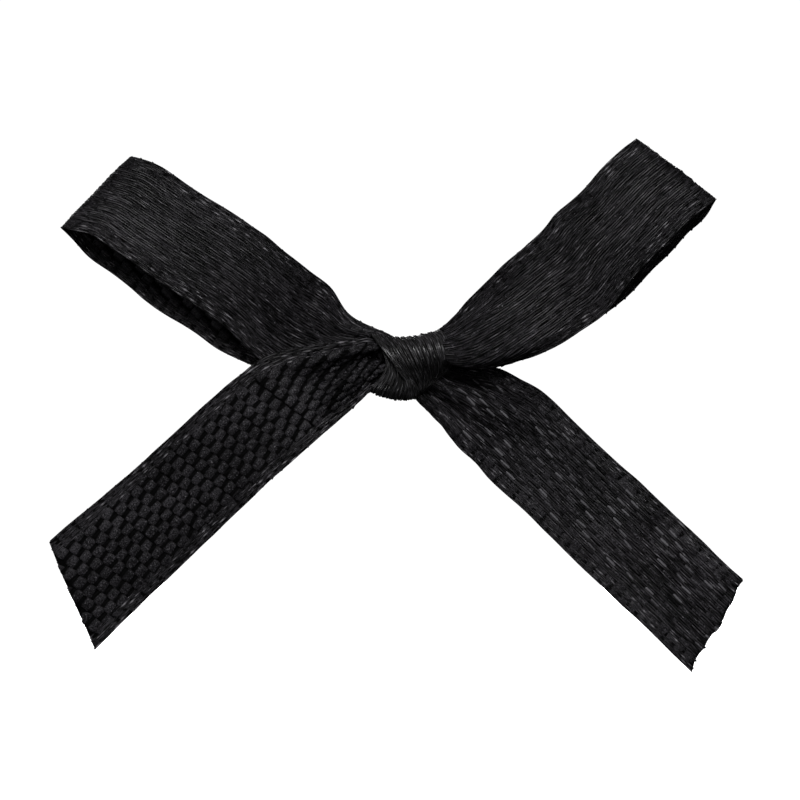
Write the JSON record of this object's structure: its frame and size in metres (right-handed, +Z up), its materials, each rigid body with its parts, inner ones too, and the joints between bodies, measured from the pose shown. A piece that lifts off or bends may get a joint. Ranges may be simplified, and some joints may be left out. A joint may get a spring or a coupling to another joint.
{
  "type": "ribbon bow tie",
  "caption": "Small black bow tied from one narrow satin ribbon: two flattened loops, two slant-cut tails and a gathered knot, each free run flexing at its neck.",
  "frame": {"origin": "centre of the flat back of the knot, where the bow is sewn, glued or pinned on", "axes": "+X across the bow to the right as seen from the front, +Z up as worn, +Y out of the knot's back; the front of the bow faces -Y"},
  "size_m": [0.041, 0.004, 0.0314],
  "materials": {
    "satin_face": "black polyester satin, warp face, soft lustre",
    "satin_reverse": "black polyester satin, reverse side, weft bricks, duller"
  },
  "bodies": {
    "knot": {"knot_band": "satin_face", "knot_core": "satin_face", "knot_back_pass": "satin_face", "left_loop_neck": "satin_face", "right_loop_neck": "satin_face", "left_tail_neck": "satin_reverse", "right_tail_neck": "satin_face"},
    "left_loop": {"left_loop_front_leaf": "satin_face", "left_loop_end_fold": "satin_face", "left_loop_back_leaf": "satin_face"},
    "right_loop": {"right_loop_front_leaf": "satin_face", "right_loop_end_fold": "satin_face", "right_loop_back_leaf": "satin_face"},
    "left_tail": {"left_tail": "satin_reverse"},
    "right_tail": {"right_tail": "satin_face"}
  },
  "joints": [
    {"name": "left_loop_flex", "type": "hinge", "parent": "knot", "child": "left_loop", "pos_m": [-0.00295, -0.0017, 0.0016], "axis": [0.5151, 0, 0.8571], "range_deg": [-50, 0], "stiffness_Nm_per_rad": 0.0002},
    {"name": "right_loop_flex", "type": "hinge", "parent": "knot", "child": "right_loop", "pos_m": [0.00285, -0.00285, 0.0013], "axis": [0.5269, 0, -0.8499], "range_deg": [0, 50], "stiffness_Nm_per_rad": 0.0002},
    {"name": "left_tail_flex", "type": "hinge", "parent": "knot", "child": "left_tail", "pos_m": [-0.0033, -0.00322, -0.0004], "axis": [-0.2891, 0, 0.9573], "range_deg": [0, 55], "stiffness_Nm_per_rad": 0.0002},
    {"name": "right_tail_flex", "type": "hinge", "parent": "knot", "child": "right_tail", "pos_m": [0.00195, -0.0017, -0.00165], "axis": [-0.6909, 0, -0.7229], "range_deg": [-55, 0], "stiffness_Nm_per_rad": 0.0002}
  ]
}
